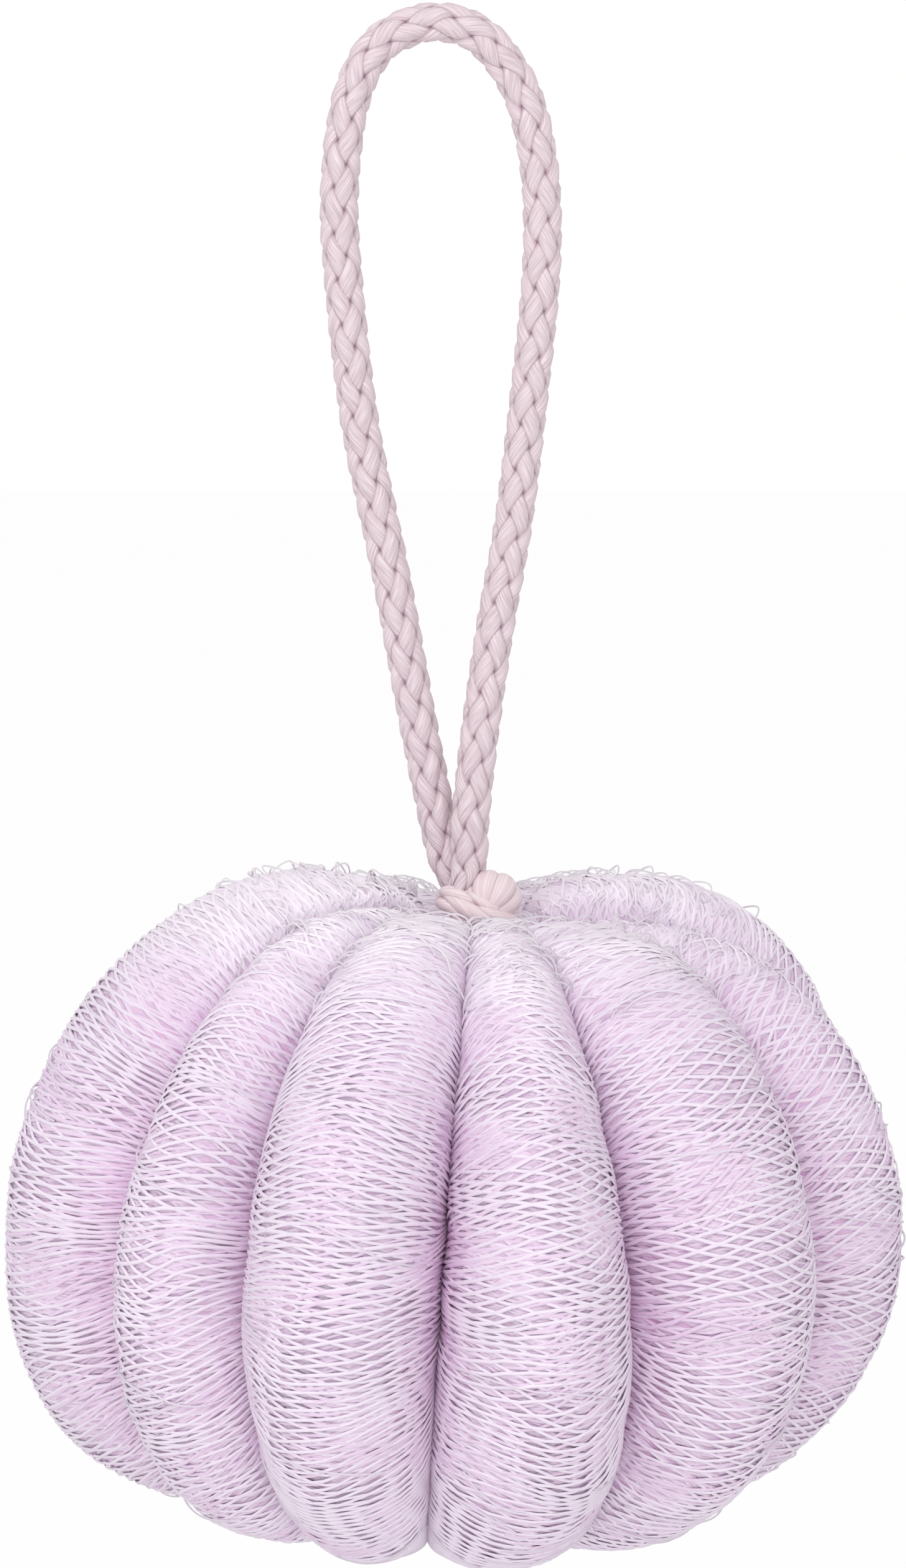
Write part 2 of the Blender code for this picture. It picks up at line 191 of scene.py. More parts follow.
# Strands and loops that stand off a roll
LOOSE_STRANDS = 18
LOOSE_HALF_LENGTHS = (5.0, 12.0)
LOOSE_LIFT = 0.3
LOOSE_ROUNDNESS = 0.3
LOOSE_STEPS = 21
LOOSE_SLOPE = 0.3  # how steep they may run along the roll
LOOSE_REACH = 0.6  # their middles lie within this share of the net's width
LOOSE_BOW = 2.0
LOOSE_LEAST_LIFT = 0.3  # as a share of the most
LOOSE_END_ROOM = 4.0
CREST_LOOPS = 42  # higher and shorter ones, over each crest
CREST_LOOP_HALF_LENGTHS = (2.0, 5.0)
CREST_LOOP_LIFT = 1.3
CREST_LOOP_DEG = (60.0, 110.0)  # where on the roll's outer line they start

# Packed inner plies, as bodies a little inside the net
CORE_INSETS = (0.6, 0.7, 0.7, 0.7, 0.7, 0.6, 0.7, 0.7, 0.7, 0.7, 0.7)
CORE_CREST_INSET = 0.3  # at the crests, where the plies are packed tight
CORE_CREST_DEG = (35.0, 65.0)  # from where to where up the roll's outer line they tighten
CORE_INNER_INSET = -2.8  # on the inside of the ring, where all the rolls meet at the middle
CORE_INNER_DEG = (126.0, 150.0, 210.0, 228.0)  # that inner wall grows to its full size, keeps it, and ends
CORE_END_ROOM = 1.0
FLANK_PRESS = 0.45  # how far two neighbouring rolls press into each other
CORE_FLANK_DEG = 120.0  # how far the bodies reach round a roll
CORE_STATIONS = 90
CORE_INNER_STATIONS = 24
CORE_SIDES = 36

FRONT_ROLLS = 6  # these have all plies, and those at the back have two
FIRST_SEED = 100


def srgb(red, green, blue):
    """A colour given as screen values from 0 to 255, as the shaders' linear one."""
    linear = []
    for value in (red, green, blue):
        share = value / 255
        linear.append(share / 12.92 if share <= 0.04045 else ((share + 0.055) / 1.055) ** 2.4)
    return (*linear, 1.0)


NET_PALE = srgb(239, 229, 241)
NET_MIDDLE = srgb(233, 219, 235)
# Painted shade: the net's colour down a roll's flanks, darker towards the grooves between rolls
NET_PAINTED_GROOVE_SHADE = srgb(233, 205, 232)
# Painted shade: the plies below the outer one are the same net in darker, more lilac colours, as shade
# between the plies
LOWER_PLY_SHADED_PALE = srgb(233, 215, 234)
LOWER_PLY_SHADED_MIDDLE = srgb(225, 202, 226)
LOWER_PLY_PAINTED_GROOVE_SHADE = srgb(225, 190, 222)
# Painted shade: the imported plies deep in a roll, their strands a darker copy of the net's colour and the
# gaps between them darker still
CORE_SHADED_STRAND = srgb(230, 212, 231)
CORE_PAINTED_GAP_SHADE = srgb(219, 191, 219)
# Painted shade: the imported plies' gaps deep down the flanks, dark magenta in the grooves between rolls
CORE_PAINTED_GROOVE_SHADE = srgb(206, 140, 194)
# Painted light: the colours the net nears at the crests, paler where light from above falls on the rolls'
# tops; the second is for the lower plies, which also carry painted shade
NET_PAINTED_CREST_LIGHT = srgb(249, 243, 249)
LOWER_PLY_SHADE_LIT_CREST = srgb(245, 236, 246)
CORD_PALE = srgb(232, 218, 222)
CORD_DEEP = srgb(202, 181, 190)
# Painted shade in the braid's creases, where petals meet and where strands dive under others
CORD_PAINTED_CREASE_SHADE = srgb(128, 88, 108)
# Painted light: the knot has the cord's fibre in lighter colours, as light from above falls on it at the top,
# and its crease shade is painted lighter too
KNOT_LIT_PALE = srgb(243, 230, 231)
KNOT_LIT_DEEP = srgb(221, 199, 206)
KNOT_PAINTED_CREASE_SHADE = srgb(168, 132, 142)
WHITE = (1.0, 1.0, 1.0, 1.0)

# Patterns of the materials, with their painted light and shade, over lays in millimetres and heights in
# metres
PAINTED_CREST_LIGHT_HEIGHTS = (-0.125, -0.106)  # painted light: from where to where up the net is painted paler, where light from above falls on the crests
NET_TONE_SCALE = (1.1, 0.05, 1.0)  # tones differ from strand to strand, and hardly along one
PAINTED_GROOVE_SHADE_SPAN = (12.0, 27.0)  # painted shade: from where to where across a roll the net darkens down its flanks towards the grooves
# Painted shade: the same for the gaps of the imported plies
PAINTED_GAP_GROOVE_SHADE_SPAN = (8.0, 26.0)
PAINTED_CELLS = ((1.6, 8.5), (1.9, 6.3))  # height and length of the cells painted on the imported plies
PAINTED_EDGES = (0.1, 0.24)  # where a painted strand starts to fade and ends, as a share of its cell
PAINTED_LOWER = 0.75  # how much of the upper ply's strength the lower one has
WARP_SCALE = 0.12
WARP_REACH = (3.0, 5.0, 0.0)  # how far painted cells are bent out of their rows
PAINTED_RELIEF = 0.0004
FIBRE_STRETCH = (1.2, 7.0, 1.0)  # fibres run along a strand of braid
FIBRE_SCALE = 1.6
FIBRE_CONTRAST = (0.35, 0.65)
FIBRE_RELIEF = 0.0002
PAINTED_EDGE_SHADE_SPAN = (0.6, 0.9)  # painted shade: darkening across a strand of braid towards its edges, from its middle at 0
PAINTED_BURIED_SHADE_WAVE = (-0.5, -0.1)  # painted shade where it dives under the others: along it, as a wave that is 1 where it lies over the others and -1 under them
# Painted shade at the notches where petals meet, along the same wave
PAINTED_NOTCH_SHADE_WAVE = (-0.1, 0.7)
NOTCH_LEAST = 0.5  # how strong its painted edge shade stays in the middle of a petal
MIX_COLOUR_INPUTS = (6, 7)  # of a mix node that blends colours
MIX_COLOUR_OUTPUT = 2

# Stage and light, in metres and watts
FLOOR_SIZE = 3.0
FLOOR_HEIGHT = -0.245
FLOOR_COLOUR = (0.95, 0.95, 0.95, 1.0)
FLOOR_WHITE_SHARE = 0.95
WORLD_LIGHT = 0.78
LAMPS = (  # name, place, size and power
    ("front", (0.0, -0.85, 0.0), 0.35, 1.05),
    ("top", (-0.2, -0.6, 0.5), 0.8, 2.45),
)


# Camera

def make_camera():
    """The camera, fitted to the photograph."""
    camera = bpy.data.cameras.new("camera")
    camera.sensor_fit = "VERTICAL"
    camera.sensor_height = SENSOR_HEIGHT_MM
    camera.lens = CAMERA_LENS_MM
    camera.clip_start = 0.01
    rig = bpy.data.objects.new("camera", camera)
    bpy.context.scene.collection.objects.link(rig)
    elevation = math.radians(CAMERA_ELEVATION_DEG)
    back = Vector((0.0, -math.cos(elevation), math.sin(elevation)))
    rig.location = CAMERA_AIM + back * CAMERA_DISTANCE
    rig.rotation_euler = (-back).to_track_quat("-Z", "Y").to_euler()
    bpy.context.scene.camera = rig


# Meshes from arrays

def mesh_object(name, points, quads, ends, lays):
    """A smooth mesh object of quads and end polygons, from points in millimetres and the lay of each."""
    mesh = bpy.data.meshes.new(name)
    sizes = np.concatenate([np.full(len(faces), faces.shape[1]) for faces in (quads, *ends)])
    corners = np.concatenate([faces.ravel() for faces in (quads, *ends)]).astype(np.int32)
    mesh.vertices.add(len(points))
    mesh.vertices.foreach_set("co", (points * MM).astype(np.float32).ravel())
    mesh.loops.add(len(corners))
    mesh.loops.foreach_set("vertex_index", corners)
    mesh.polygons.add(len(sizes))
    mesh.polygons.foreach_set("loop_start", np.concatenate([[0], np.cumsum(sizes)[:-1]]).astype(np.int32))
    mesh.update(calc_edges=True)
    layer = mesh.uv_layers.new(name="lay")
    layer.uv.foreach_set("vector", lays[corners].astype(np.float32).ravel())
    mesh.shade_smooth()
    thing = bpy.data.objects.new(name, mesh)
    bpy.context.scene.collection.objects.link(thing)
    return thing


def tubes(rings):
    """Quads and end polygons of many tubes. Rings are an array of tube, step, side and coordinate."""
    count, steps, sides = rings.shape[:3]
    index = np.arange(count * steps * sides).reshape(count, steps, sides)
    beside = np.roll(index, -1, axis=2)
    quads = np.stack([index[:, :-1], beside[:, :-1], beside[:, 1:], index[:, 1:]], axis=-1).reshape(-1, 4)
    ends = np.concatenate([index[:, 0, ::-1], index[:, -1]])
    return rings.reshape(-1, 3), quads, ends


def tube_object(name, stretches, materials):
    """One mesh object from stretches of rings, each with its points' lay and, for the net, their shading."""
    parts = []
    start = 0
    for rings, lays, *_ in stretches:
        points, quads, ends = tubes(rings)
        parts.append((points, quads + start, ends + start, lays.reshape(-1, 2)))
        start += len(points)
    points, quads, ends, lays = zip(*parts)
    thing = mesh_object(name, np.concatenate(points), np.concatenate(quads), ends, np.concatenate(lays))
    for material in dict.fromkeys(materials):
        thing.data.materials.append(material)
    slots = [thing.data.materials.find(material.name) for material in materials]
    counts = [len(faces) for faces in quads + ends]
    thing.data.polygons.foreach_set("material_index", np.repeat(slots + slots, counts).astype(np.int32))
    shadings = [normals.reshape(-1, STRAND_SIDES, 3) for _, _, *shading in stretches for normals in shading]
    if shadings:
        normals = corner_normals(thing.data, sum(len(faces) for faces in quads), np.concatenate(shadings))
        thing.data.normals_split_custom_set(normals)
    return thing


def corner_normals(mesh, quad_count, shading):
    """Shading normals of all corners: their points' own, and on undersides the ridge's, turned inwards."""
    corners = np.empty(len(mesh.loops), np.int32)
    mesh.loops.foreach_get("vertex_index", corners)
    normals = shading.reshape(-1, 3)[corners]
    quad_sides = np.repeat(np.arange(quad_count) % STRAND_SIDES, 4)
    underside = np.flatnonzero(quad_sides == STRAND_UNDERSIDE)
    normals[underside] = -shading[corners[underside] // STRAND_SIDES, 0]
    return normals


def unit(vectors):
    """Vectors of length one."""
    return vectors / np.maximum(np.linalg.norm(vectors, axis=-1, keepdims=True), 1e-9)


# Braided cord

def smooth_route(route):
    """Evenly spaced points of the Catmull-Rom curve through a route's points, and how far along each is."""
    route = np.array(route, float)
    padded = np.concatenate([[route[0] * 2 - route[1]], route, [route[-1] * 2 - route[-2]]])
    t = np.linspace(0, 1, ROUTE_STEPS_EACH, endpoint=False)[:, None]
    fine = []
    for before, start, end, after in zip(padded, padded[1:], padded[2:], padded[3:]):
        curve = 2 * start + (end - before) * t + (2 * before - 5 * start + 4 * end - after) * t**2
        fine.append((curve + (3 * start - before - 3 * end + after) * t**3) / 2)
    fine = np.concatenate([*fine, [route[-1]]])
    travelled = np.concatenate([[0], np.cumsum(np.linalg.norm(np.diff(fine, axis=0), axis=1))])
    even = np.linspace(0, travelled[-1], round(travelled[-1] / ROUTE_STEP) + 1)
    return np.stack([np.interp(even, travelled, fine[:, axis]) for axis in range(3)], axis=1), even


def carried_frames(points):
    """Tangents, and normals that turn as little as they can along a path."""
    tangents = unit(np.gradient(points, axis=0))
    normal = unit(np.cross(tangents[0], (0.0, 1.0, 0.0)))
    normals = []
    for tangent in tangents:
        normal = unit(normal - tangent * normal.dot(tangent))
        normals.append(normal)
    return tangents, np.array(normals)


def braid_rings(route, diameter, pitch):
    """Rings of a round braid's strands along a route, the lay of each point on its strand, and the path."""
    points, along = smooth_route(route)
    tangents, normals = carried_frames(points)
    binormals = np.cross(tangents, normals)
    half_thickness = BRAID_HALF_THICKNESS * diameter / CORD_DIAMETER
    dive = BRAID_DIVE * diameter / CORD_DIAMETER
    middle = diameter / 2 - half_thickness - dive
    steps = np.linspace(0, along[-1], round(along[-1] / BRAID_STEP))
    from_end = np.minimum(steps, along[-1] - steps)
    thin = 1 - TAPER * np.clip(1 - from_end / TAPER_LENGTH, 0, 1) ** TAPER_POWER
    around = np.arange(BRAID_SIDES) / BRAID_SIDES * 2 * math.pi
    crown = np.sign(np.sin(around)) * np.abs(np.sin(around)) ** BRAID_PEAK
    strand_apart, way_apart = FIBRES_APART
    rings = []
    lays = []
    for way in (1, -1):
        first_crossing = way_apart * way + (0.0 if way > 0 else 0.5)
        wave = way * np.cos(2 * math.pi * STRANDS_EACH_WAY * steps / pitch)
        rise = np.tanh(BRAID_SNAP * (wave + BRAID_LINGER))
        over = 2 * (rise - rise.min()) / (rise.max() - rise.min()) - 1
        sideways = BRAID_COVER / 2 * np.cos(around)[None, :]
        radius = ((middle + dive * over)[:, None] + half_thickness * crown) * thin[:, None]
        place = np.clip(steps[:, None] - way * sideways * pitch / (2 * STRANDS_EACH_WAY), 0, along[-1])
        centre, normal, binormal = (
            np.stack([np.interp(place, along, table[:, axis]) for axis in range(3)], axis=-1)
            for table in (points, normals, binormals)
        )
        for strand in range(STRANDS_EACH_WAY):
            rounds = strand / STRANDS_EACH_WAY + way * steps / pitch
            turn = 2 * math.pi * rounds + math.radians(BRAID_TURN_DEG)
            angle = turn[:, None] + sideways * math.pi / STRANDS_EACH_WAY
            outwards = normal * np.cos(angle)[..., None] + binormal * np.sin(angle)[..., None]
            rings.append(centre + outwards * radius[..., None])
            crossing = first_crossing + strand_apart * strand + steps[:, None] * STRANDS_EACH_WAY / pitch
            lays.append(np.stack([crossing + 0 * sideways, np.cos(around) + 0 * crossing], axis=-1))
    return np.stack(rings), np.stack(lays), points


def lump_rings():
    """Rings of the knot's lump, from its pinch to its far side, and the lay of each point on its strand."""
    pinch = unit(np.array(LUMP_PINCH))
    side = unit(np.cross(pinch, (0.0, 0.0, 1.0)))
    up = np.cross(side, pinch)
    share = np.linspace(*LUMP_SPAN, LUMP_STEPS)[:, None]
    sides = LUMP_STRANDS * LUMP_SIDES_EACH
    strand = (np.arange(sides) / LUMP_SIDES_EACH)[None, :]
    around = strand / LUMP_STRANDS * 2 * math.pi + math.radians(LUMP_TURN_DEG)
    across = 2 * np.abs(strand - np.round(strand))
    polar = share * math.pi + 0 * around
    size = 1 - LUMP_GROOVE * across**3 * np.sin(polar)
    heading = up * np.cos(around)[..., None] + side * np.sin(around)[..., None]
    direction = pinch * np.cos(polar)[..., None] + heading * np.sin(polar)[..., None]
    rings = KNOT_CENTRE + LUMP_CENTRE + direction * size[..., None] * LUMP_HALF_AXES
    along = np.interp(share, (0, 1), LUMP_CREASE_SHADE_ENDS)
    lay = np.stack([along + 0 * across, LUMP_CREASE_SHADE * across**2 + 0 * share], axis=-1)
    return rings[None], lay[None]


# Net rolls

def soft_minimum(first, second):
    """Smoothly rounded minimum of two lengths, never above either."""
    smaller = np.maximum(np.minimum(first, second), 1e-6)
    larger = np.maximum(np.maximum(first, second), 1e-6)
    return smaller * (1 + (smaller / larger) ** BULGE_SHARPNESS) ** (-1 / BULGE_SHARPNESS)


def groove_azimuth(index, height):
    """Azimuth of the groove before a roll at a height over the sponge's middle."""
    rounds, place = divmod(index, len(GROOVE_AZIMUTHS_DEG))
    turn = GROOVE_LEANS_DEG[place] * height / CREST_HEIGHT
    return np.radians(GROOVE_AZIMUTHS_DEG[place] + turn + 360 * rounds)


def turned(vectors):
    """Vectors of the sponge's own frame as they stand in the row frame."""
    lean = math.radians(SPONGE_LEAN_DEG)
    x, y, z = np.moveaxis(vectors, -1, 0)
    return np.stack([x * math.cos(lean) + z * math.sin(lean), y, z * math.cos(lean) - x * math.sin(lean)], -1)


def to_row(points):
    """Points of the sponge's own frame in the row frame."""
    return turned(points) + SPONGE_CENTRE


class Roll:
    """The form of one net roll. A point on it has a place along the roll and one across it."""

    def __init__(self, index):
        self.index = index
        self.reach = SPONGE_RADIUS + RADIUS_EXTRAS[index]
        self.rise = CREST_HEIGHT + CREST_EXTRAS[index]
        self.drop = BELLY_DEPTH + BELLY_EXTRAS[index]
        self.angles = np.radians(np.linspace(PLY_START_DEG, PLY_END_DEG, OUTLINE_STEPS))
        outline = np.stack(self.outline(self.angles, 0.0), axis=1)
        steps = np.linalg.norm(np.diff(outline, axis=0), axis=1)
        self.travelled = np.concatenate([[0], np.cumsum(steps)])
        self.length = self.travelled[-1]

    def outline(self, angle, inset):
        """Distance from the axis and height of the roll's outer line."""
        sine, cosine = np.sin(angle), np.cos(angle)
        outer_power = np.where(sine > 0, SHOULDER_FULLNESS[self.index], BELLY_FULLNESS[self.index])
        power = np.where(cosine >= 0, outer_power, INNER_FULLNESS)
        half_width = np.where(cosine >= 0, self.reach - CREST_RADIUS, CREST_RADIUS - CORE_RADIUS) - inset
        half_height = np.where(sine > 0, self.rise, self.drop) - inset
        across = np.sign(cosine) * np.abs(cosine) ** (2 / power) * half_width
        up = np.sign(sine) * np.abs(sine) ** (2 / power) * half_height
        return CREST_RADIUS + across, up

    def surface(self, angle, turn, inset=0.0):
        """Points at angles along the outer line and at turns from the middle line round the flank."""
        outer_radius, outer_height = self.outline(angle, inset)
        to_tie = np.stack([TIE_RADIUS - outer_radius, -outer_height], axis=-1)
        depth = np.linalg.norm(to_tie, axis=-1)
        inward = to_tie / depth[..., None]
        face = np.minimum(np.abs(turn), math.pi / 2)
        bulge = np.minimum(BULGE_DEPTH, depth * BULGE_MOST)
        down = bulge * (1 - np.cos(face)) + bulge * np.maximum(np.abs(turn) - math.pi / 2, 0)
        radius = outer_radius + inward[..., 0] * down
        height = outer_height + inward[..., 1] * down
        before = groove_azimuth(self.index, height)
        after = groove_azimuth(self.index + 1, height)
        half_angle = (after - before) / 2
        wedge = radius * half_angle - ROLL_GAP / 2 + FLANK_PRESS
        width = (BULGE_FULLEST * half_angle * BULGE_PRESS + FLANK_PRESS) * np.sin(face)
        azimuth = (before + after) / 2 + np.sign(turn) * soft_minimum(width, wedge) / radius
        return np.stack([np.sin(azimuth) * radius, -np.cos(azimuth) * radius, height], axis=-1)

    def angle_at(self, place):
        """Angle of the outer line at a place along it."""
        return np.interp(place, self.travelled, self.angles)

    def place_at(self, angle):
        """Place along the roll of an angle of its outer line."""
        return np.interp(angle, self.angles, self.travelled)

    def flank(self, place):
        """How far round the roll its strands reach at a place along it."""
        radius, _ = self.outline(self.angle_at(place), 0.0)
        share = np.clip((radius - CREST_RADIUS / 2) / (BULGE_FULLEST - CREST_RADIUS / 2), 0, 1)
        crest, fullest = NET_FLANK_DEG
        return np.radians(crest + (fullest - crest) * share)

    def lay(self, place, across, depth):
        """Points and outward normals of the net at places along the roll and lengths across it."""
        turn = across / BULGE_DEPTH
        turn_step = NORMAL_STEP / BULGE_DEPTH
        angle = self.angle_at(place)
        here = self.surface(angle, turn)
        ahead = self.surface(self.angle_at(place + NORMAL_STEP), turn)
        behind = self.surface(self.angle_at(place - NORMAL_STEP), turn)
        along = ahead - behind
        beside = self.surface(angle, turn + turn_step) - self.surface(angle, turn - turn_step)
        normal = unit(np.cross(along, beside))
        middle = (groove_azimuth(self.index, 0.0) + groove_azimuth(self.index + 1, 0.0)) / 2
        tie = np.array((math.sin(middle), -math.cos(middle), 0.0)) * TIE_RADIUS
        normal *= np.sign(np.sum(normal * (here - tie), axis=-1, keepdims=True))
        return here - normal * np.asarray(depth)[..., None], normal


class Ripple:
    """A smooth random field over a ply of net: waves of their own direction, length and phase."""

    def __init__(self, rng, most, shortest, longest):
        length = rng.uniform(shortest, longest, RIPPLE_WAVES)
        heading = rng.uniform(0, math.pi, RIPPLE_WAVES)
        self.along = np.cos(heading) / length
        self.across = np.sin(heading) / length / RIPPLE_STRETCH
        self.phase = rng.uniform(0, 1, RIPPLE_WAVES)
        self.size = most / math.sqrt(RIPPLE_WAVES / 2)

    def __call__(self, place, across):
        turns = place[..., None] * self.along + across[..., None] * self.across + self.phase
        return np.sin(2 * math.pi * turns).sum(-1) * self.size


def ply_strands(roll, rng, depth, spread, steps, tilt, half_width):
    """Rings of both ways of strands in one ply of net, spread wider or tighter than the roll's cells."""
    cell_height = CELL_HEIGHTS[roll.index] * spread
    cell_length = CELL_LENGTHS[roll.index]
    slope = cell_height / cell_length
    along_ripple = Ripple(rng, *ALONG_RIPPLE)
    across_ripple = Ripple(rng, *ACROSS_RIPPLE)
    depth_ripple = Ripple(rng, *DEPTH_RIPPLE)
    starts = np.arange(PLY_END_ROOM, roll.length - PLY_END_ROOM, cell_height) + rng.uniform(0, cell_height)
    start_turn, end_turn = np.radians(FLANK_SWELL_DEG)
    ways = []
    for way in (1, -1):
        reach = roll.flank(starts)[:, None] * BULGE_DEPTH
        across = np.linspace(-1, 1, steps)[None, :] * reach
        shifted = across + across_ripple(starts[:, None] + 0 * across, across)
        weave = NODE_MERGE * cell_length / (4 * math.pi) * np.sin(4 * math.pi * across / cell_length)
        place = starts[:, None] + way * slope * (across - weave) + tilt * across
        place = place + along_ripple(place, across)
        place = np.clip(place, END_ROOM, roll.length - END_ROOM)
        below = depth + (STRAND_STACK if way < 0 else 0.0) + depth_ripple(place, across)
        flank = np.clip((np.abs(shifted) / BULGE_DEPTH - start_turn) / (end_turn - start_turn), 0, 1)
        below = np.maximum(below, STRAND_HALF_HEIGHT) - FLANK_SWELL * flank
        rings, shading = strand_rings(*roll.lay(place, shifted, below), half_width, STRAND_ROUNDNESS)
        ways.append((rings, strand_lays(place, shifted), shading))
    return [np.concatenate(arrays) for arrays in zip(*ways)]


def strand_rings(centre, normal, half_width, roundness):
    """Three-sided rings along many strands, a little flattened onto the roll, and their shading normals."""
    tangent = unit(np.gradient(centre, axis=1))
    side = unit(np.cross(normal, tangent))
    corners = (math.pi / 2 + np.arange(STRAND_SIDES) * 2 * math.pi / STRAND_SIDES)[:, None]
    sideways = side[:, :, None] * np.cos(corners)
    upwards = normal[:, :, None] * np.sin(corners)
    rings = centre[:, :, None] + sideways * half_width + upwards * STRAND_HALF_HEIGHT
    shading = normal[:, :, None] * (1 - roundness) + (sideways + upwards) * roundness
    return to_row(rings), turned(unit(shading))


def strand_lays(place, across):
    """Where the points of many strands lie: place along the roll, and length across it."""
    lay = np.stack([place, across + 0 * place], axis=-1)
    return np.repeat(lay[:, :, None], STRAND_SIDES, axis=2)


def loose_strands(roll, rng, count, first, last, half_lengths, most_lift):
    """Strands that start between two places of a roll and stand off it, each in an arc of its own."""
    start = rng.uniform(first, last, (count, 1))
    middle = rng.uniform(-LOOSE_REACH, LOOSE_REACH, (count, 1)) * roll.flank(start) * BULGE_DEPTH
    half = rng.uniform(*half_lengths, (count, 1))
    slope = rng.uniform(-LOOSE_SLOPE, LOOSE_SLOPE, (count, 1))
    bow = rng.uniform(-LOOSE_BOW, LOOSE_BOW, (count, 1))
    share = np.linspace(-1, 1, LOOSE_STEPS)[None, :]
    across = middle + half * share
    place = np.clip(start + slope * half * share + bow * share**2, END_ROOM, roll.length - END_ROOM)
    lift = most_lift * rng.uniform(LOOSE_LEAST_LIFT, 1.0, (count, 1)) * (1 - share**2)
    centre, normal = roll.lay(place, across, STRAND_HALF_HEIGHT - lift)
    rings, shading = strand_rings(centre, normal, STRAND_HALF_HEIGHT, LOOSE_ROUNDNESS)
    return rings, strand_lays(place, across), shading


def core_body(roll, places, angles, inset_degrees, insets):
    """A closed body of a roll's packed inner plies over a range of angles, with its lay in millimetres."""
    turns = np.linspace(-1, 1, CORE_SIDES) * math.radians(CORE_FLANK_DEG)
    angle = angles[:, None] + 0 * turns
    inset = np.interp(np.degrees(angle), inset_degrees, insets)
    ring = roll.surface(angle, turns + 0 * angle, inset)
    lay = np.stack([places[:, None] + 0 * turns, turns * BULGE_DEPTH + 0 * places[:, None]], axis=-1)
    return to_row(ring)[None], lay[None]


def make_roll(index, net, shaded_lower_net, core):
    """One net roll: its plies of strands around its packed inner plies."""
    roll = Roll(index)
    rng = np.random.default_rng(FIRST_SEED + index)
    first, last = LOOSE_END_ROOM, roll.length - LOOSE_END_ROOM
    layers = [loose_strands(roll, rng, LOOSE_STRANDS, first, last, LOOSE_HALF_LENGTHS, LOOSE_LIFT)]
    first, last = roll.place_at(np.radians(CREST_LOOP_DEG))
    loops = loose_strands(roll, rng, CREST_LOOPS, first, last, CREST_LOOP_HALF_LENGTHS, CREST_LOOP_LIFT)
    layers.append(loops)
    plies = list(zip(PLY_DEPTHS, PLY_SPREADS, PLY_STEPS, PLY_TILTS, STRAND_HALF_WIDTHS))
    for ply in plies if index < FRONT_ROLLS else plies[:2]:
        layers.append(ply_strands(roll, rng, *ply))
    # Loose strands, loops and the outer ply have the net's palest tones, and the plies below have the same
    # net painted darker and more lilac, as painted shade
    materials = [net, net, net] + [shaded_lower_net] * (len(layers) - 3)
    strands = tube_object(f"net_roll_{index + 1:02d}_net", layers, materials)

    places = np.linspace(CORE_END_ROOM, roll.length - CORE_END_ROOM, CORE_STATIONS)
    insets = (CORE_INSETS[index], CORE_CREST_INSET)
    outer = core_body(roll, places, roll.angle_at(places), CORE_CREST_DEG, insets)
    angles = np.radians(np.linspace(CORE_INNER_DEG[0], CORE_INNER_DEG[-1], CORE_INNER_STATIONS))
    insets = (CORE_CREST_INSET, CORE_INNER_INSET, CORE_INNER_INSET, CORE_CREST_INSET)
    inner = core_body(roll, roll.length + angles * CREST_RADIUS, angles, CORE_INNER_DEG, insets)
    body = tube_object(f"net_roll_{index + 1:02d}_inner", [outer, inner], [core, core])

    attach(strands, "root")
    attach(body, "root")
    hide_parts(f"net_roll_{index + 1:02d}")


# Materials

def new_material(name, roughness, specular):
    """A material, with its node tree and its shader."""
    material = bpy.data.materials.new(name)
    material.use_nodes = True
    tree = material.node_tree
    shader = tree.nodes["Principled BSDF"]
    shader.inputs["Roughness"].default_value = roughness
    shader.inputs["Specular IOR Level"].default_value = specular
    return material, tree, shader


def node(tree, kind, values=(), **settings):
    """A node with its settings, whose inputs take values or links by name or number."""
    made = tree.nodes.new(kind)
    for key, value in settings.items():
        setattr(made, key, value)
    for key, value in dict(values).items():
        if isinstance(value, bpy.types.NodeSocket):
            tree.links.new(value, made.inputs[key])
        else:
            made.inputs[key].default_value = value
    return made


def math_node(tree, operation, first, second=0.0):
    """The result of a math node."""
    return node(tree, "ShaderNodeMath", {0: first, 1: second}, operation=operation).outputs[0]


def blend_colours(tree, factor, low, high):
    """A colour that goes from low to high with a factor."""
    low_input, high_input = MIX_COLOUR_INPUTS
    values = {"Factor": factor, low_input: low, high_input: high}
    return node(tree, "ShaderNodeMix", values, data_type="RGBA").outputs[MIX_COLOUR_OUTPUT]


def ramp(tree, value, start, end, low=0.0, high=1.0, **settings):
    """A value that goes from low to high while another goes from start to end."""
    values = {"Value": value, "From Min": start, "From Max": end, "To Min": low, "To Max": high}
    return node(tree, "ShaderNodeMapRange", values, **settings).outputs["Result"]


def flank_share(tree, lay, start, end):
    """How far down a roll's flank a point lies, from 0 to 1 between two lengths across the roll."""
    across = math_node(tree, "ABSOLUTE", node(tree, "ShaderNodeSeparateXYZ", {0: lay}).outputs["Y"])
    return ramp(tree, across, start, end, interpolation_type="SMOOTHSTEP")


def blend_painted_crest_light(tree, colour, crest):
    """A colour that nears a paler one towards the crests of the rolls, as painted light where light from
    above falls.
    """
    place = node(tree, "ShaderNodeTexCoord").outputs["Object"]
    height = node(tree, "ShaderNodeSeparateXYZ", {0: place}).outputs["Z"]
    return blend_colours(tree, ramp(tree, height, *PAINTED_CREST_LIGHT_HEIGHTS), colour, crest)


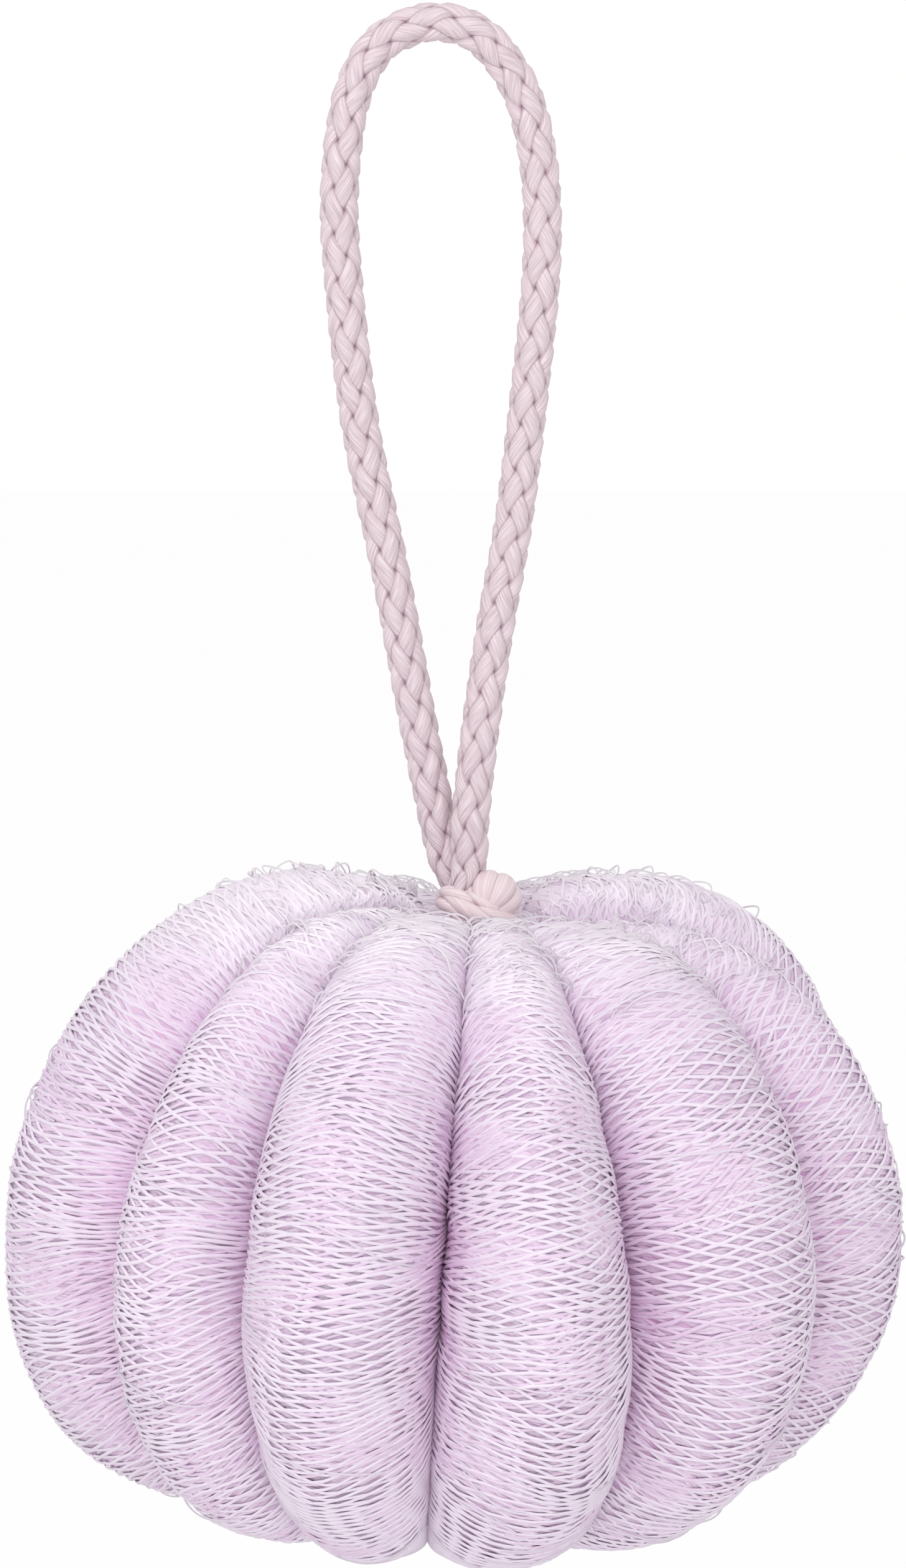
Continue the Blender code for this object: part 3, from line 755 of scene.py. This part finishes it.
def net_material(name, middle, pale, deep, crest):
    """Soft plastic strands, each of its own tone, with painted shade deepening down the flanks towards the
    grooves and painted light paler at the crests.
    """
    material, tree, shader = new_material(name, roughness=0.5, specular=0.25)
    lay = node(tree, "ShaderNodeUVMap", uv_map="lay").outputs["UV"]
    stretched = node(tree, "ShaderNodeVectorMath", {0: lay, 1: NET_TONE_SCALE}, operation="MULTIPLY")
    tone = node(tree, "ShaderNodeTexNoise", {"Vector": stretched.outputs[0], "Scale": 1.0, "Detail": 2.0})
    toned = blend_colours(tree, tone.outputs["Fac"], middle, pale)
    # Painted shade: darker down the flanks, towards the grooves
    colour = blend_colours(tree, flank_share(tree, lay, *PAINTED_GROOVE_SHADE_SPAN), toned, deep)
    tree.links.new(blend_painted_crest_light(tree, colour, crest), shader.inputs["Base Color"])
    return material


def painted_strands(tree, bent, rise, run):
    """How near a point of the inner plies lies to the crossing strands of one ply, from 0 to 1."""
    split = node(tree, "ShaderNodeSeparateXYZ", {0: bent})
    rises = math_node(tree, "MULTIPLY", split.outputs["X"], 1 / rise)
    runs = math_node(tree, "MULTIPLY", split.outputs["Y"], 1 / run)
    strands = []
    for way in ("ADD", "SUBTRACT"):
        turn = math_node(tree, "FRACT", math_node(tree, way, rises, runs))
        strands.append(math_node(tree, "ABSOLUTE", math_node(tree, "SUBTRACT", turn, 0.5)))
    nearest = math_node(tree, "MINIMUM", *strands)
    return ramp(tree, nearest, *PAINTED_EDGES, low=1.0, high=0.0)


def core_material():
    """Packed net deeper in a roll: two plies of crossing strands in a darker copy of the net's colour, over
    cells painted darker still as shade.
    """
    material, tree, shader = new_material("net_inner", roughness=0.6, specular=0.2)
    lay = node(tree, "ShaderNodeUVMap", uv_map="lay").outputs["UV"]
    warp = node(tree, "ShaderNodeTexNoise", {"Vector": lay, "Scale": WARP_SCALE, "Detail": 2.0})
    values = {0: warp.outputs["Color"], 1: WARP_REACH}
    shift = node(tree, "ShaderNodeVectorMath", values, operation="MULTIPLY").outputs[0]
    bent = node(tree, "ShaderNodeVectorMath", {0: lay, 1: shift}, operation="ADD").outputs[0]
    upper, lower = (painted_strands(tree, bent, *cell) for cell in PAINTED_CELLS)
    raised = math_node(tree, "MAXIMUM", upper, math_node(tree, "MULTIPLY", lower, PAINTED_LOWER))
    # Painted shade: the gaps between painted strands are darker, and both darken further down the flanks
    gap_shade = blend_colours(tree, flank_share(tree, lay, *PAINTED_GAP_GROOVE_SHADE_SPAN), CORE_PAINTED_GAP_SHADE, CORE_PAINTED_GROOVE_SHADE)
    strand = blend_colours(tree, flank_share(tree, lay, *PAINTED_GROOVE_SHADE_SPAN), CORE_SHADED_STRAND, LOWER_PLY_PAINTED_GROOVE_SHADE)
    colour = blend_painted_crest_light(tree, blend_colours(tree, raised, gap_shade, strand), LOWER_PLY_SHADE_LIT_CREST)
    tree.links.new(colour, shader.inputs["Base Color"])
    bump = node(tree, "ShaderNodeBump", {"Height": raised, "Distance": PAINTED_RELIEF, "Strength": 0.6})
    tree.links.new(bump.outputs["Normal"], shader.inputs["Normal"])
    return material


def cord_material(name, deep, pale, crease_shade):
    """Satin fibre strands, with fine lines along each, and painted shade in lines and notches where petals
    meet and where a strand dives under others.
    """
    material, tree, shader = new_material(name, roughness=0.5, specular=0.35)
    lay = node(tree, "ShaderNodeUVMap", uv_map="lay").outputs["UV"]
    fine = node(tree, "ShaderNodeVectorMath", {0: lay, 1: FIBRE_STRETCH}, operation="MULTIPLY")
    values = {"Vector": fine.outputs[0], "Scale": FIBRE_SCALE, "Detail": 3.0}
    fibres = node(tree, "ShaderNodeTexNoise", values).outputs["Fac"]
    lined = blend_colours(tree, ramp(tree, fibres, *FIBRE_CONTRAST), deep, pale)
    split = node(tree, "ShaderNodeSeparateXYZ", {0: lay})
    # Painted shade: darker where a strand dives under others and towards its edges where petals meet
    wave = math_node(tree, "COSINE", math_node(tree, "MULTIPLY", split.outputs["X"], 2 * math.pi))
    buried_shade = ramp(tree, wave, *PAINTED_BURIED_SHADE_WAVE, low=1.0, high=0.0)
    edge_shade = ramp(tree, math_node(tree, "ABSOLUTE", split.outputs["Y"]), *PAINTED_EDGE_SHADE_SPAN)
    notch_shade = math_node(tree, "MULTIPLY", edge_shade, ramp(tree, wave, *PAINTED_NOTCH_SHADE_WAVE, low=1.0, high=NOTCH_LEAST))
    colour = blend_colours(tree, math_node(tree, "MAXIMUM", notch_shade, buried_shade), lined, crease_shade)
    tree.links.new(colour, shader.inputs["Base Color"])
    bump = node(tree, "ShaderNodeBump", {"Height": fibres, "Distance": FIBRE_RELIEF, "Strength": 0.5})
    tree.links.new(bump.outputs["Normal"], shader.inputs["Normal"])
    return material


# Stage and light

def seen_rays(tree):
    """1 for the rays that show the background to the camera, straight, mirrored or through glass."""
    path = node(tree, "ShaderNodeLightPath").outputs
    straight = math_node(tree, "MAXIMUM", path["Is Camera Ray"], path["Is Glossy Ray"])
    return math_node(tree, "MAXIMUM", straight, path["Is Transmission Ray"])


def make_floor():
    """A plain pale floor that a camera ray sees nearly white and that keeps the shadow."""
    mesh = bpy.data.meshes.new("floor")
    corners = ((-1, -1), (1, -1), (1, 1), (-1, 1))
    points = [(x * FLOOR_SIZE, y * FLOOR_SIZE, FLOOR_HEIGHT) for x, y in corners]
    mesh.from_pydata(points, [], [(0, 1, 2, 3)])
    floor = bpy.data.objects.new("floor", mesh)
    bpy.context.scene.collection.objects.link(floor)
    material = bpy.data.materials.new("floor")
    material.use_nodes = True
    tree = material.node_tree
    tree.nodes.clear()
    plain = node(tree, "ShaderNodeBsdfDiffuse", {"Color": FLOOR_COLOUR}).outputs[0]
    white = node(tree, "ShaderNodeEmission", {"Color": WHITE, "Strength": 1.0}).outputs[0]
    share = math_node(tree, "MULTIPLY", seen_rays(tree), FLOOR_WHITE_SHARE)
    mixed = node(tree, "ShaderNodeMixShader", {0: share, 1: plain, 2: white})
    node(tree, "ShaderNodeOutputMaterial", {"Surface": mixed.outputs[0]})
    mesh.materials.append(material)


def make_world():
    """Even white light, and a white background."""
    world = bpy.data.worlds.new("world")
    bpy.context.scene.world = world
    world.use_nodes = True
    tree = world.node_tree
    tree.nodes.clear()
    lit = node(tree, "ShaderNodeBackground", {"Color": WHITE, "Strength": WORLD_LIGHT}).outputs[0]
    white = node(tree, "ShaderNodeBackground", {"Color": WHITE, "Strength": 1.0}).outputs[0]
    mixed = node(tree, "ShaderNodeMixShader", {0: seen_rays(tree), 1: lit, 2: white})
    node(tree, "ShaderNodeOutputWorld", {"Surface": mixed.outputs[0]})


def make_lamp(name, place, size, power):
    """A soft square lamp that faces the sponge."""
    light = bpy.data.lights.new(name, "AREA")
    light.size = size
    light.energy = power
    lamp = bpy.data.objects.new(name, light)
    bpy.context.scene.collection.objects.link(lamp)
    lamp.location = place
    lamp.rotation_euler = (Vector(SPONGE_CENTRE * MM) - Vector(place)).to_track_quat("-Z", "Y").to_euler()


make_camera()
cord = cord_material("cord_fibre", CORD_DEEP, CORD_PALE, CORD_PAINTED_CREASE_SHADE)
# The knot's material is the cord's, painted lighter as light on the top of the sponge
knot_fibre_painted_light = cord_material("knot_fibre_painted_light", KNOT_LIT_DEEP, KNOT_LIT_PALE, KNOT_PAINTED_CREASE_SHADE)
loop_route = LEFT_TAIL + LOOP_ROUTE + RIGHT_TAIL
loop_rings, loop_lays, loop_path = braid_rings(loop_route, CORD_DIAMETER, BRAID_PITCH)
loop = tube_object("hanging_loop_braid", [(loop_rings, loop_lays)], [cord])
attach(loop, "root")
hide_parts("hanging_loop")

wrap_rings, wrap_lays, _ = braid_rings(np.array(WRAP_ROUTE) + KNOT_CENTRE, WRAP_DIAMETER, WRAP_PITCH)
knot = tube_object("knot_braid", [(wrap_rings, wrap_lays), lump_rings()], [knot_fibre_painted_light, knot_fibre_painted_light])
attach(knot, "root")
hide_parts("knot")

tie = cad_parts["centre_tie"]
tie.data.materials.clear()
tie.data.materials.append(cord)

net_strands = net_material("net_strands", NET_MIDDLE, NET_PALE, NET_PAINTED_GROOVE_SHADE, NET_PAINTED_CREST_LIGHT)
# Painted shade: the lower plies get a darker copy of the net's colours
net_shaded_lower = net_material("net_lower_strands_painted_shade", LOWER_PLY_SHADED_MIDDLE, LOWER_PLY_SHADED_PALE, LOWER_PLY_PAINTED_GROOVE_SHADE, LOWER_PLY_SHADE_LIT_CREST)
net_inner = core_material()
for roll_index in range(len(GROOVE_AZIMUTHS_DEG)):
    make_roll(roll_index, net_strands, net_shaded_lower, net_inner)

make_floor()
make_world()
for lamp_settings in LAMPS:
    make_lamp(*lamp_settings)

bpy.context.scene.view_settings.view_transform = "Standard"
